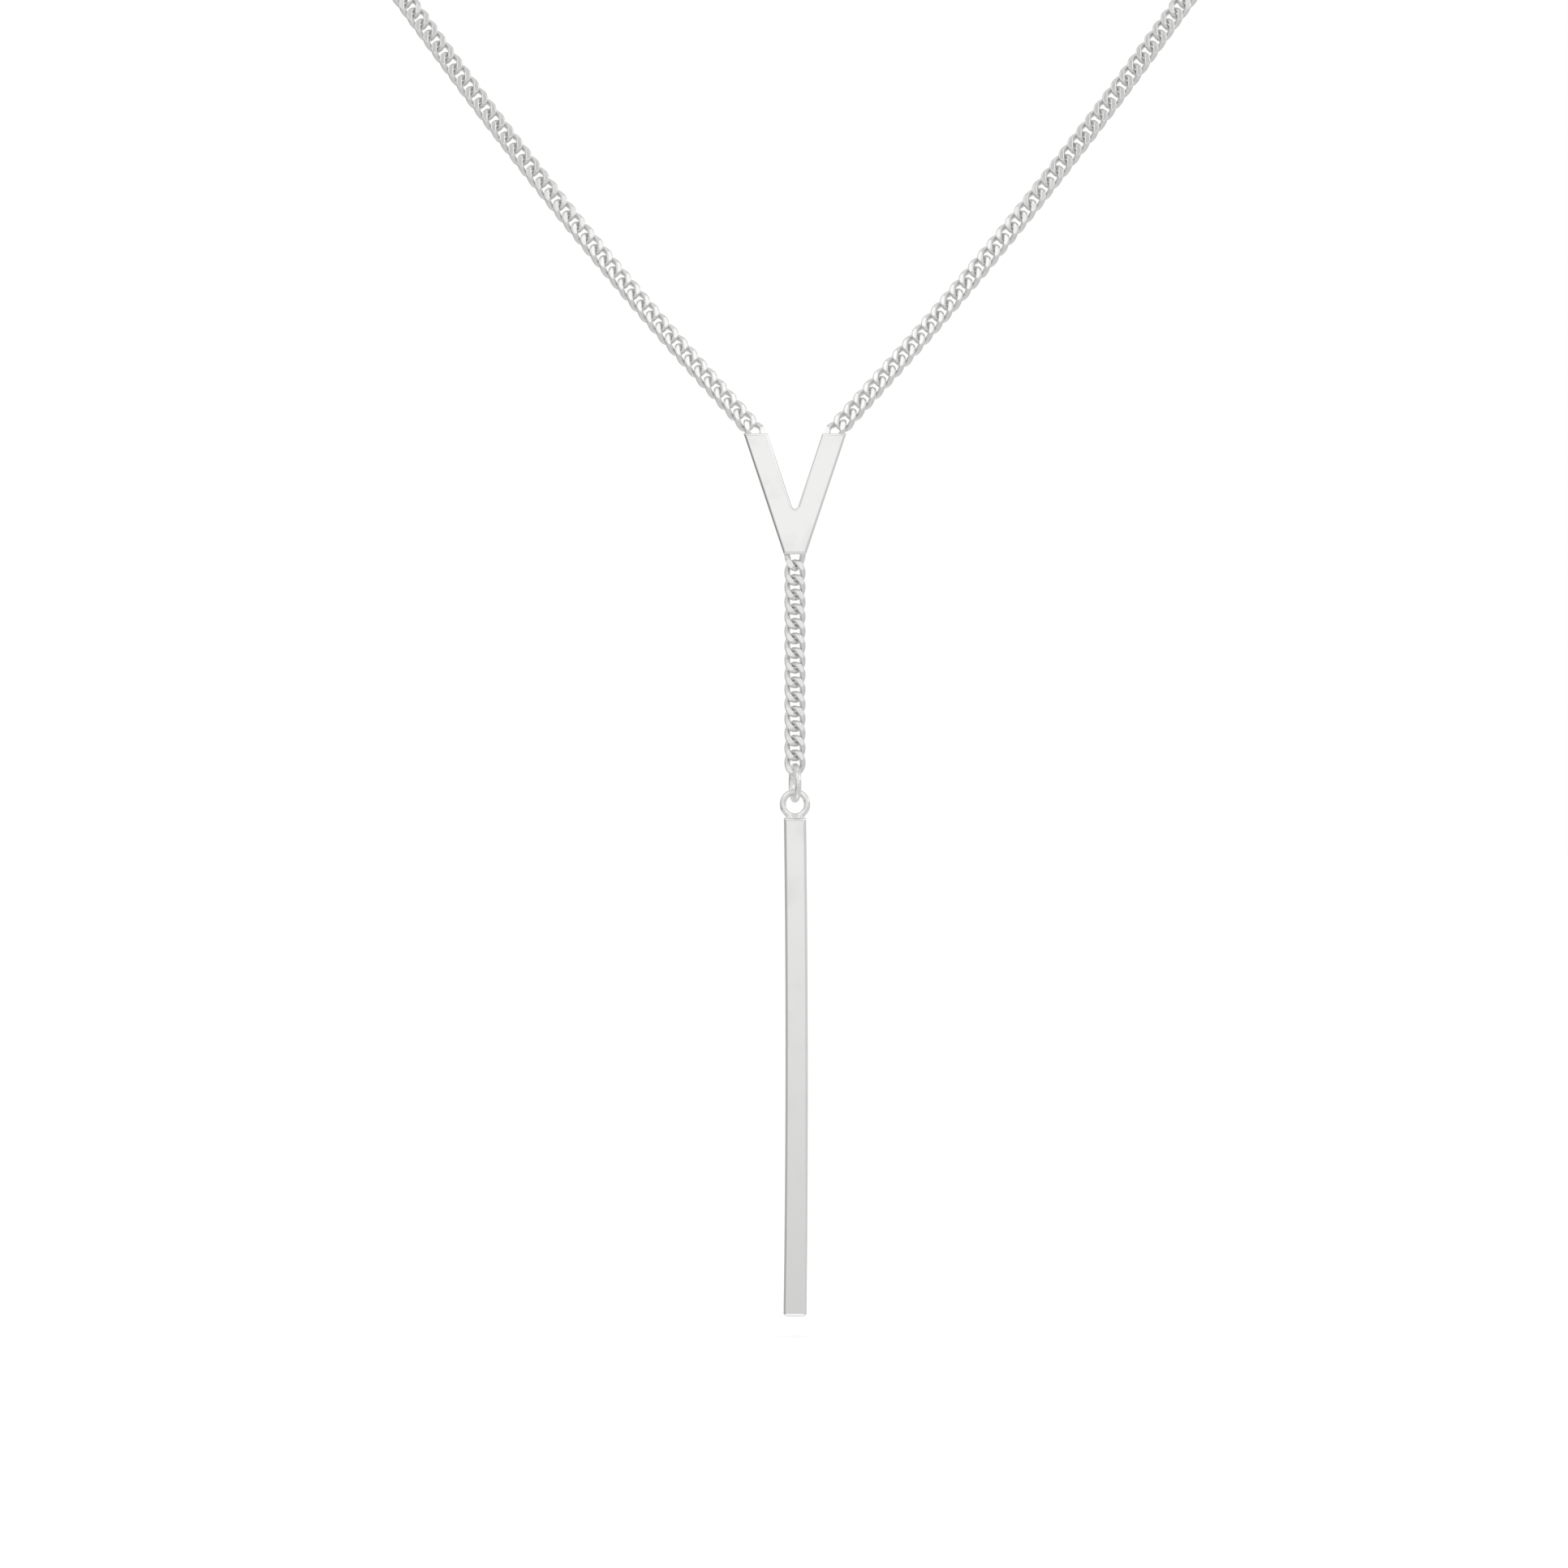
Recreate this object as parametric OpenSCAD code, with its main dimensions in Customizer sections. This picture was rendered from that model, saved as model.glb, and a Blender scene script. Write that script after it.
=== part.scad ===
// Y necklace of polished silver, worn form: two curb chain arms rise from a flat V, a curb
// chain drops from its foot, and a slim bar hangs from a jump ring. Millimetres, +Z up, the
// front faces -Y, and the origin is the middle of the neck at the height of the nape.

/* [V plate] */
// Width over the two top ends
v_width = 9.2; // [8:0.1:14]
// Height from the top ends to the foot
v_height = 10.8; // [9:0.1:16]
// Width of a leg, square to the leg
v_leg_width = 2.03; // [1.8:0.01:2.4]
// Width of the foot
v_foot_width = 2; // [1.8:0.1:2.6]
// Thickness of the plate
v_thickness = 1.3; // [1.1:0.1:2]
// Radius in the crotch between the legs
v_crotch_r = 0.3; // [0.15:0.05:0.6]

/* [Curb chain] */
// Diameter of the wire
wire_d = 0.48; // [0.4:0.01:0.52]
// Distance from one link to the next
link_pitch = 1.31; // [1.2:0.01:1.6]
// Outer width of a link
link_width = 1.9; // [1.8:0.05:2.3]
// Play between the wires of two links that hold each other
link_play = 0.12; // [0.11:0.01:0.16]
// Depth filed off the front and back of the chain
filed_depth = 0.15; // [0:0.01:0.18]
// Loose links in the drop
drop_links = 14; // [8:1:20]
// Loose links in the front stretch of each arm
arm_links = 42; // [30:1:46]
// Height of a soldered half link's middle over the edge of the plate
solder_rise = 0.35; // [0.3:0.05:0.6]
// Distance of an arm's half link from the middle of its leg, outwards
solder_shift = 0.2; // [0:0.05:0.3]

/* [Jump ring] */
// Outer diameter
ring_outer_d = 3.56; // [3.4:0.02:4.4]
// Diameter of its wire
ring_wire_d = 0.58; // [0.45:0.01:0.6]
// Turn of the ring about the vertical, from edge-on
ring_turn = 13; // [0:1:20]
// Gap between the ring and what hangs on it
ring_play = 0.1; // [0.1:0.01:0.16]

/* [Bar] */
// Length of the bar
bar_length = 44.7; // [20:0.1:60]
// Width of the bar
bar_width = 2; // [1.6:0.1:3]
// Depth of the bar
bar_depth = 1.5; // [1:0.1:2.5]
// Rounding of its long edges
bar_edge_r = 0.2; // [0.1:0.05:0.4]
// Outer diameter of the wire eye
eye_outer_d = 2.73; // [2.6:0.01:3.6]
// Diameter of the eye's wire
eye_wire_d = 0.55; // [0.45:0.01:0.6]
// Depth of the eye in the solder on the bar's top
eye_sink = 0.16; // [0.1:0.01:0.25]

/* [Clasp] */
// Outer diameter of the clasp's hoop
clasp_outer_d = 5.9; // [5:0.1:8]
// Diameter of the hoop's wire
clasp_wire_d = 1.1; // [0.8:0.05:1.3]
// Outer diameter of the small eye on the clasp
clasp_eye_d = 2.1; // [1.9:0.05:3]
// Diameter of the small eye's wire
clasp_eye_wire_d = 0.5; // [0.4:0.05:0.6]
// Depth of the small eye in the hoop's wire
clasp_eye_sink = 0.3; // [0.2:0.05:0.4]
// Outer diameter of the ring on the other end of the chain
clasp_ring_d = 3.6; // [3.4:0.1:5]
// Diameter of that ring's wire
clasp_ring_wire_d = 0.6; // [0.5:0.05:0.7]

/* [Wearing] */
// Height of the nape over the top ends of the V
nape_rise = 94; // [80:1:130]
// Distance of the V in front of the middle of the neck
v_forward = 64; // [50:1:90]
// Distance of the clasp behind the middle of the neck
nape_back = 56; // [40:1:75]
// Rise of the chest over its run, which turns the face of the front chain upwards
chest_slope = 1; // [0:0.05:1.2]
// Gap where the hidden chain meets its neighbours
seat_gap = 0.15; // [0.12:0.01:0.25]

/* [Hidden] */

silver = "#c4c5c7";
round_fn = 48;
crotch_steps = 12;

// Curb link: its middle line is an ellipse whose two halves rise and fall twice a turn
link_steps = 12;
wire_sides = 5;
link_mid_length = link_pitch + wire_d + link_play;
link_mid_width = link_width - wire_d;
link_length = link_mid_length + wire_d;
link_rise = 0.55 * (wire_d + link_play);
filed_z = link_rise + wire_d / 2 - filed_depth;
chain_thickness = 2 * filed_z;

// V plate, in its own plane: x to the side, y up, top ends at 0
leg_slope = (v_width - v_foot_width) / 2 / v_height;
leg_angle = atan(leg_slope);
leg_top_width = v_leg_width / cos(leg_angle);
crotch_drop = (v_width / 2 - leg_top_width) / leg_slope;
v_top_z = -nape_rise;
v_foot_z = v_top_z - v_height;

// Places down the drop
drop_z = v_foot_z - solder_rise;
drop_end_z = drop_z - drop_links * link_pitch - link_mid_length / 2;
ring_r = (ring_outer_d - ring_wire_d) / 2;
ring_z = drop_end_z + (wire_d + ring_wire_d) / 2 + ring_play - ring_r;
ring_low_z = ring_z - ring_r;
eye_r = (eye_outer_d - eye_wire_d) / 2;
eye_z = ring_low_z + (ring_wire_d + eye_wire_d) / 2 + ring_play - eye_r;
bar_top_z = eye_z - eye_outer_d / 2 + eye_sink;

// Places along the clasp, from the left end of its small eye
clasp_r = (clasp_outer_d - clasp_wire_d) / 2;
clasp_hole_r = clasp_r - clasp_wire_d / 2;
clasp_ring_r = (clasp_ring_d - clasp_ring_wire_d) / 2;
hoop_from_end = clasp_eye_d - clasp_eye_sink + clasp_outer_d / 2;
clasp_ring_x = clasp_hole_r - clasp_ring_wire_d / 2 - ring_play + clasp_ring_r;
clasp_span = hoop_from_end + clasp_ring_x + clasp_ring_d / 2;
hoop_x = hoop_from_end - clasp_span / 2;

// Route of the left arm's middle line: it starts at the V and ends at the clasp, and
// the points between were chosen by hand, first as the photograph shows them
arm_start = [-(v_width - leg_top_width) / 2 - solder_shift, -v_forward, v_top_z + solder_rise];
arm_end = [-clasp_span / 2 - seat_gap, nape_back, 0];
ARM_POINTS = [[-12, -63.2, -84.4], [-20, -62, -74.8], [-28, -60.3, -64.5], [-35, -57.5, -54.9],
    [-41.8, -52, -45.5], [-48.2, -42.5, -36], [-54, -29, -26.5], [-58, -10, -17],
    [-57.2, 12.5, -9], [-47.4, 35.5, -3.5], [-27.5, 52, -0.8]];
arm_route = concat([arm_start], ARM_POINTS, [arm_end]);
route_steps = 16;

// A smooth curve through four points, between the second and the third
function through(p, u) = 0.5 * (2 * p[1] + (p[2] - p[0]) * u
    + (2 * p[0] - 5 * p[1] + 4 * p[2] - p[3]) * u * u
    + (3 * p[1] - p[0] - 3 * p[2] + p[3]) * u * u * u);
function with_ends(r) = concat([2 * r[0] - r[1]], r, [2 * r[len(r) - 1] - r[len(r) - 2]]);
function smooth(e) = [for (i = [0:len(e) - 4], k = [0:route_steps - 1])
    through([e[i], e[i + 1], e[i + 2], e[i + 3]], k / route_steps)];
function lengths(p) = [for (i = 0, s = 0; i < len(p);
    s = s + (i < len(p) - 1 ? norm(p[i + 1] - p[i]) : 0), i = i + 1) s];

arm_curve = concat(smooth(with_ends(arm_route)), [arm_end]);
arm_lengths = lengths(arm_curve);
arm_length = arm_lengths[len(arm_lengths) - 1];
arm_tables = [for (axis = [0:2]) [for (i = [0:len(arm_curve) - 1])
    [arm_lengths[i], arm_curve[i][axis]]]];

// Place on the arm at a length s from the V, with the way it runs and the way it faces
function unit(v) = v / norm(v);
function arm_at(s) = [for (axis = [0:2]) lookup(s, arm_tables[axis])];
function arm_way(s) = unit(arm_at(s + link_pitch / 2) - arm_at(s - link_pitch / 2));
function off_the_skin(p, way) = let (out = [p[0], p[1], chest_slope * max(0, -p[1])])
    unit(out - (out * way) * way);
function frame(p, way, face) = let (side = cross(face, way))
    [[way[0], side[0], face[0], p[0]],
     [way[1], side[1], face[1], p[1]],
     [way[2], side[2], face[2], p[2]],
     [0, 0, 0, 1]];
function arm_frame(s) = let (p = arm_at(s), way = arm_way(s))
    frame(p, way, off_the_skin(p, way));
function drop_frame(i) = frame([0, -v_forward, drop_z - i * link_pitch], [0, 0, -1], [0, -1, 0]);

back_start = arm_links * link_pitch + link_length / 2 + seat_gap;
back_rings = ceil((arm_length - back_start) / (2.5 * link_width));

// Middle line of a link at the angle a, and a ring of its wire there
function link_mid(a) =
    [link_mid_length / 2 * cos(a), link_mid_width / 2 * sin(a), link_rise * sin(2 * a)];
function link_way(a) = unit([-link_mid_length / 2 * sin(a), link_mid_width / 2 * cos(a),
    2 * link_rise * cos(2 * a)]);
function link_ring(a) = let (way = link_way(a), side = unit(cross(way, [0, 0, 1])),
    up = cross(side, way))
    [for (j = [0:wire_sides - 1]) let (b = 360 * j / wire_sides)
        link_mid(a) + wire_d / 2 * (cos(b) * side + sin(b) * up)];
function filed(p) = [p[0], p[1], min(max(p[2], -filed_z), filed_z)];

// Two triangles for each cell between ring i and ring k of a tube with n sides
function band(i, k, n) = [for (j = [0:n - 1]) let (m = (j + 1) % n)
    each [[i * n + j, k * n + m, k * n + j], [i * n + j, i * n + m, k * n + m]]];

module curb_link() {
    rings = [for (i = [0:link_steps - 1]) link_ring(360 * i / link_steps)];
    polyhedron(
        points = [for (ring = rings, p = ring) filed(p)],
        faces = [for (i = [0:link_steps - 1]) each band(i, (i + 1) % link_steps, wire_sides)]);
}

// The front chain and the hand of its twist are those of the left arm
module arm_link(i) {
    multmatrix(arm_frame(i * link_pitch)) curb_link();
}

// The drop has the right arm's twist, which is the mirror image
module drop_link(i) {
    multmatrix(drop_frame(i)) mirror([0, 1, 0]) curb_link();
}

module wire_ring(outer_d, ring_wire) {
    rotate_extrude($fn = round_fn)
        translate([(outer_d - ring_wire) / 2, 0]) circle(d = ring_wire, $fn = round_fn);
}

module v_outline() {
    half = v_width / 2;
    crotch_y = v_crotch_r / sin(leg_angle) - crotch_drop;
    crotch = [for (k = [0:crotch_steps])
        let (a = 180 + leg_angle + (180 - 2 * leg_angle) * k / crotch_steps)
        [v_crotch_r * cos(a), crotch_y + v_crotch_r * sin(a)]];
    polygon(concat([[-half, 0], [leg_top_width - half, 0]], crotch, [[half - leg_top_width, 0],
        [half, 0], [v_foot_width / 2, -v_height], [-v_foot_width / 2, -v_height]]));
}

// Half of an end link that stands on an edge of the plate, from a little below its surface
module half_link(edge_z, up) {
    reach = link_length + solder_rise;
    root = solder_rise / 2;
    intersection() {
        children();
        translate([-v_width, -v_forward - reach, edge_z - (up ? root : reach)])
            cube([2 * v_width, 2 * reach, reach + root]);
    }
}

module v_plate() {
    color(silver) union() {
        translate([0, v_thickness / 2 - v_forward, v_top_z]) rotate([90, 0, 0])
            linear_extrude(height = v_thickness) v_outline();
        half_link(v_top_z, true) arm_link(0);
        half_link(v_top_z, true) mirror([1, 0, 0]) arm_link(0);
        half_link(v_foot_z, false) drop_link(0);
    }
}

module drop_chain() {
    color(silver) for (i = [1:drop_links]) drop_link(i);
}

module jump_ring() {
    color(silver) translate([0, -v_forward, ring_z]) rotate([0, 0, ring_turn]) rotate([0, 90, 0])
        wire_ring(ring_outer_d, ring_wire_d);
}

module bar_section() {
    inset_w = bar_width / 2 - bar_edge_r;
    inset_d = bar_depth / 2 - bar_edge_r;
    square([bar_width, bar_depth - 2 * bar_edge_r], center = true);
    square([bar_width - 2 * bar_edge_r, bar_depth], center = true);
    for (x = [-inset_w, inset_w], y = [-inset_d, inset_d])
        translate([x, y]) circle(r = bar_edge_r, $fn = round_fn);
}

module bar_pendant() {
    color(silver) translate([0, -v_forward, 0]) {
        translate([0, 0, bar_top_z - bar_length]) linear_extrude(height = bar_length) bar_section();
        translate([0, 0, eye_z]) rotate([90, 0, 0]) wire_ring(eye_outer_d, eye_wire_d);
    }
}

module front_chain_left() {
    color(silver) for (i = [1:arm_links]) arm_link(i);
}

module front_chain_right() {
    color(silver) mirror([1, 0, 0]) for (i = [1:arm_links]) arm_link(i);
}

// The hidden stretch of an arm: a tube with the chain's width and thickness
module back_tube() {
    sides = 8;
    rings = [for (i = [0:back_rings])
        let (s = back_start + (arm_length - back_start) * i / back_rings, p = arm_at(s),
            way = arm_way(s), face = off_the_skin(p, way), side = cross(face, way))
        [for (j = [0:sides - 1]) let (b = 360 * (j + 0.5) / sides)
            p + link_width / 2 * cos(b) * side - chain_thickness / 2 * sin(b) * face]];
    polyhedron(
        points = [for (ring = rings, p = ring) p],
        faces = concat(
            [[for (j = [sides - 1:-1:0]) j]],
            [for (i = [0:back_rings - 1]) each band(i, i + 1, sides)],
            [[for (j = [0:sides - 1]) back_rings * sides + j]]));
}

module back_chain_left() {
    color(silver) back_tube();
}

module back_chain_right() {
    color(silver) mirror([1, 0, 0]) back_tube();
}

module clasp() {
    color(silver) translate([hoop_x, nape_back, 0]) {
        rotate([90, 0, 0]) wire_ring(clasp_outer_d, clasp_wire_d);
        translate([clasp_eye_d / 2 - hoop_from_end, 0, 0]) wire_ring(clasp_eye_d, clasp_eye_wire_d);
    }
}

module clasp_ring() {
    color(silver) translate([hoop_x + clasp_ring_x, nape_back, 0])
        wire_ring(clasp_ring_d, clasp_ring_wire_d);
}

v_plate();
drop_chain();
jump_ring();
bar_pendant();
front_chain_left();
front_chain_right();
back_chain_left();
back_chain_right();
clasp();
clasp_ring();
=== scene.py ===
import math

import bpy
import numpy as np
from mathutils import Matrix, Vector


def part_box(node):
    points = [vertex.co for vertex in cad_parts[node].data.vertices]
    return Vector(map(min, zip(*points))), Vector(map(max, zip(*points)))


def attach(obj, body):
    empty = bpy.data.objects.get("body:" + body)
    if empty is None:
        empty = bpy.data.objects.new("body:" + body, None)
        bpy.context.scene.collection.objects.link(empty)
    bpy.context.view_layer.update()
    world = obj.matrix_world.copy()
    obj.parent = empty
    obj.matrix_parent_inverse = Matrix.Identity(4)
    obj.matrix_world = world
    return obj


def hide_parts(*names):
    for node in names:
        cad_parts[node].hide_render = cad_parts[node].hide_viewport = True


bl_info = {
    "name": "Y Necklace",
    "version": (1, 0, 0),
    "blender": (4, 5, 0),
    "location": "View3D > Sidebar > Necklace",
    "description": "Dresses the packed parts of a silver curb chain Y necklace",
    "category": "Add Mesh",
}

# The packed parts are the fixed frame, in metres: +Z up, the front faces -Y
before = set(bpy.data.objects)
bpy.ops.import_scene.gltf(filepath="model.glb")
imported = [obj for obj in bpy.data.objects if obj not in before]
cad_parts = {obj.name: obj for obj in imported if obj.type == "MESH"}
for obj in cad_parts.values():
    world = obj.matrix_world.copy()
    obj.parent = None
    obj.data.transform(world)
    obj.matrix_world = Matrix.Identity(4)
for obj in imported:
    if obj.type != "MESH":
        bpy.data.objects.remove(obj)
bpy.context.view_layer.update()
MM = 0.001
RIGHT, BACK, UP = np.eye(3)


def node_box(name):
    """Lowest and highest corner of a packed part, as two rows."""
    return np.array([list(corner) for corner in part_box(name)])


V_BOX = node_box("v_plate")
DROP_BOX = node_box("drop_chain")
RING_BOX = node_box("jump_ring")
BAR_BOX = node_box("bar_pendant")
CLASP_BOX = node_box("clasp")
CLASP_RING_BOX = node_box("clasp_ring")
FRONT_Y = RING_BOX[:, 1].mean()
NAPE_Y = CLASP_BOX[:, 1].mean()

# Length of a packed link, whose wire is a little thinner so that loose links keep clear
PACKED_LINK = 2.39 * MM

# Route of the left arm's middle line between the V and the clasp
ARM_POINTS = [(-0.012, -0.0632, -0.0844), (-0.020, -0.062, -0.0748), (-0.028, -0.0603, -0.0645),
              (-0.035, -0.0575, -0.0549), (-0.0418, -0.052, -0.0455), (-0.0482, -0.0425, -0.036),
              (-0.054, -0.029, -0.0265), (-0.058, -0.010, -0.017), (-0.0572, 0.0125, -0.009),
              (-0.0474, 0.0355, -0.0035), (-0.0275, 0.052, -0.0008)]
# Straight steps between two points of the route
ROUTE_STEPS = 16
# The last link's middle lies this far outside the clasp's end
CLASP_LINK_GAP = 0.05 * MM

# The photograph is square; these places in it set the camera
PHOTO_SIDE_PX = 1932
PHOTO_MM_PER_PX = 0.0727
PHOTO_V_TOP_PX = 534
PHOTO_MIDDLE_LINE_PX = 979.5
# Width of the camera's sensor, and how far the camera sees, in metres
SENSOR_MM = 36
CAMERA_SEES_TO = 30


# Settings

def length(name, description, default):
    """A size in metres that shows with its unit."""
    return bpy.props.FloatProperty(name=name, description=description, default=default,
                                   min=0, precision=5, subtype="DISTANCE", unit="LENGTH")


def angle(name, description, default):
    """An angle that shows in degrees."""
    return bpy.props.FloatProperty(name=name, description=description, default=default,
                                   min=0, subtype="ANGLE", unit="ROTATION")


def colour(name, description, default):
    """A colour as an sRGB hex value."""
    return bpy.props.StringProperty(name=name, description=description, default=default)


class ChainSizes(bpy.types.PropertyGroup):
    """Sizes of the curb links in the arms and the drop"""
    wire_d: length("Wire", "Diameter of a link's wire", 0.52 * MM)
    pitch: length("Pitch", "Distance from one link to the next", 1.31 * MM)
    width: length("Width", "Outer width of a link", DROP_BOX[1, 0] - DROP_BOX[0, 0])
    play: length("Play", "Play between the wires of two links that hold each other", 0.04 * MM)
    rise: length("Rise", "How far a link's wire rises and falls from the middle plane", 0.31 * MM)
    thickness: length("Thickness", "Thickness of the filed chain", DROP_BOX[1, 1] - DROP_BOX[0, 1])
    drop_links: bpy.props.IntProperty(
        name="Drop links", description="Loose links in the drop", default=14, min=1)
    arm_links: bpy.props.IntProperty(
        name="Front links", description="Links in the front stretch of each arm", default=42, min=1)
    chest_slope: bpy.props.FloatProperty(
        name="Chest slope", description="Rise over run of the chest under the front chain",
        default=1, min=0)
    uneven: angle("Unevenness", "How far a link leans from its neighbours", 0.015)


class PlateSizes(bpy.types.PropertyGroup):
    """Sizes of the V plate"""
    width: length("Width", "Width over the two top ends", 9.2 * MM)
    height: length("Height", "Height from the top ends to the foot", 10.8 * MM)
    leg_width: length("Leg width", "Width of a leg, square to the leg", 2.03 * MM)
    foot_width: length("Foot width", "Width of the foot", 2 * MM)
    thickness: length("Thickness", "Thickness of the plate", V_BOX[1, 1] - V_BOX[0, 1])
    crotch_r: length("Crotch", "Radius in the crotch between the legs", 0.3 * MM)
    edge_r: length("Edge", "Size of the softened bevel on the edges", 0.18 * MM)
    solder_rise: length("Solder rise", "From an edge to the middle of its half link", 0.35 * MM)
    solder_shift: length("Solder shift", "From a leg's middle to that of its half link", 0.2 * MM)
    foot_reach: length("Foot reach", "How much longer the half link under the foot is", 0.3 * MM)


class BarSizes(bpy.types.PropertyGroup):
    """Sizes of the bar, its eye and the jump ring"""
    length: length("Length", "Length of the bar", 44.7 * MM)
    width: length("Width", "Width of the bar", 2 * MM)
    depth: length("Depth", "Depth of the bar", BAR_BOX[1, 1] - BAR_BOX[0, 1])
    edge_r: length("Edge", "Size of the softened bevel on the long edges", 0.27 * MM)
    top_r: length("Top corner", "Radius of the top corners, seen from the front", 0.1 * MM)
    top_end_r: length("Top edge", "Size of the bevel round the top end", 0.27 * MM)
    foot_r: length("Foot corner", "Radius of the foot's corners, seen from the front", 0.36 * MM)
    foot_end_r: length("Foot edge", "Size of the bevel round the foot", 0.36 * MM)
    flare: length("Flare", "How much wider the bar is at its foot", 0.08 * MM)
    bow: length("Bow", "How far the middle of the bar stands to the right", 0.15 * MM)
    eye_wire_d: length("Eye wire", "Diameter of the eye's wire", 0.55 * MM)
    ring_wire_d: length("Ring wire", "Diameter of the jump ring's wire", 0.57 * MM)
    ring_turn: angle("Ring turn", "Turn of the jump ring from edge-on", math.radians(11.2))


class ClaspSizes(bpy.types.PropertyGroup):
    """Sizes of the clasp"""
    wire_d: length("Wire", "Diameter of the hoop's wire", 1.1 * MM)
    eye_d: length("Eye", "Outer diameter of the small eye", 2.1 * MM)
    eye_wire_d: length("Eye wire", "Diameter of the small eye's wire", 0.5 * MM)


class Finishes(bpy.types.PropertyGroup):
    """Colours of the silver, as sRGB hex values"""
    plate: colour("Plate", "Polished faces of the V and the bar", "#F9F9F8")
    plate_haze: colour("Plate haze", "Where the polish has gone a little dull", "#F5F5F4")
    wire: colour("Wire", "Tumbled wire of the links", "#F9F9F8")
    wire_haze: colour("Wire haze", "Faint tarnish on the wire", "#EEEEEC")
    cut: colour("Cut", "Bright filed flats of the links", "#EFEFEE")


class StageSettings(bpy.types.PropertyGroup):
    """Camera, floor and light"""
    camera_distance: length("Camera distance", "From the V to the camera", 1.0)
    floor_gap: length("Floor gap", "From the bar's foot down to the floor", 1.8 * MM)
    floor_side: length("Floor side", "Side of the square floor", 12.0)
    floor_colour: colour("Floor", "Plain pale floor", "#F8F8F8")
    floor_patch: colour("Floor patch", "Barely paler patches of the floor", "#FAFAFA")


SETTINGS = {
    "necklace_chain": ChainSizes,
    "necklace_plate": PlateSizes,
    "necklace_bar": BarSizes,
    "necklace_clasp": ClaspSizes,
    "necklace_finish": Finishes,
    "necklace_stage": StageSettings,
}


# Meshes

def unit(rows):
    """Each row scaled to length one."""
    return rows / np.linalg.norm(rows, axis=-1, keepdims=True)


def grid_cells(rings, sides, closed):
    """Four-sided cells between neighbouring points of a grid whose rings are closed loops; a closed
    grid also joins its last ring to its first."""
    i = np.arange(rings if closed else rings - 1)[:, None]
    j = np.arange(sides)[None, :]
    k, m = (i + 1) % rings, (j + 1) % sides
    corners = [i * sides + j, k * sides + j, k * sides + m, i * sides + m]
    return np.stack(corners, -1).reshape(-1, 4)


def end_caps(rings, sides):
    """The loops that close the first and the last ring of an open grid."""
    return [np.arange(sides), np.arange(sides)[::-1] + (rings - 1) * sides]


def copies_of(cells, points_each, copies):
    """The same cells for each of many equal meshes whose points follow one another."""
    return (cells[None] + (np.arange(copies) * points_each)[:, None, None]).reshape(-1, 4)


class Shell:
    """Closed surfaces gathered into one mesh, each with the number of its material."""

    def __init__(self):
        self.points, self.cells, self.finish, self.count = [], [], [], 0

    def add(self, points, cells, finish=0, caps=()):
        """Adds points and four-sided cells; finish is one number or one for each cell. Each cap is a
        loop of point numbers that closes an end."""
        self.points.append(points.reshape(-1, 3))
        self.cells += (cells + self.count).tolist()
        self.finish += np.broadcast_to(finish, len(cells)).tolist()
        for cap in caps:
            self.cells.append((np.asarray(cap) + self.count).tolist())
            self.finish.append(0)
        self.count += len(self.points[-1])

    def tube(self, points, closed, finish=0):
        """A tube from points [ring, side]; an open tube gets a cap on each end."""
        rings, sides = points.shape[:2]
        caps = () if closed else end_caps(rings, sides)
        self.add(points, grid_cells(rings, sides, closed), finish, caps)

    def piece(self, name, body, nodes, materials, mirrored=False, crisp_over=math.pi):
        """Makes the mesh object, which rides on a body and stands for CAD nodes. It is shaded smooth,
        except over edges that turn by more than the angle crisp_over."""
        mesh = bpy.data.meshes.new(name)
        points = np.vstack(self.points)
        cells = self.cells
        if mirrored:
            points = points * (-1, 1, 1)
            cells = [cell[::-1] for cell in cells]
        mesh.from_pydata(points, [], cells)
        mesh.polygons.foreach_set("material_index", self.finish)
        mesh.polygons.foreach_set("use_smooth", [True] * len(cells))
        for material in materials:
            mesh.materials.append(material)
        mesh.validate()
        mesh.set_sharp_from_angle(angle=crisp_over)
        made = bpy.data.objects.new(name, mesh)
        bpy.context.scene.collection.objects.link(made)
        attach(made, body)
        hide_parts(*nodes)


# Curb links

QUARTER = math.pi / 2
# Half angle of the narrow strip kept on top of a wire where nothing is filed off
LEAST_CHORD = 0.2
# Cells down each side and over each flat of a link's section, on links that are seen from close by
# and on plainer ones
FINE_SECTION = (4, 4)
PLAIN_SECTION = (2, 1)
# Turns of a plainer link's twelve rings
PLAIN_TURNS = np.radians(np.arange(15, 375, 30))
# Rings of a fine link over each flat and beside it, in a quarter of a turn
FLAT_RINGS = 7
SIDE_RINGS = 2
# Steps over which the place where something starts on a link is looked for
SEARCH_STEPS = 720


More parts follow.
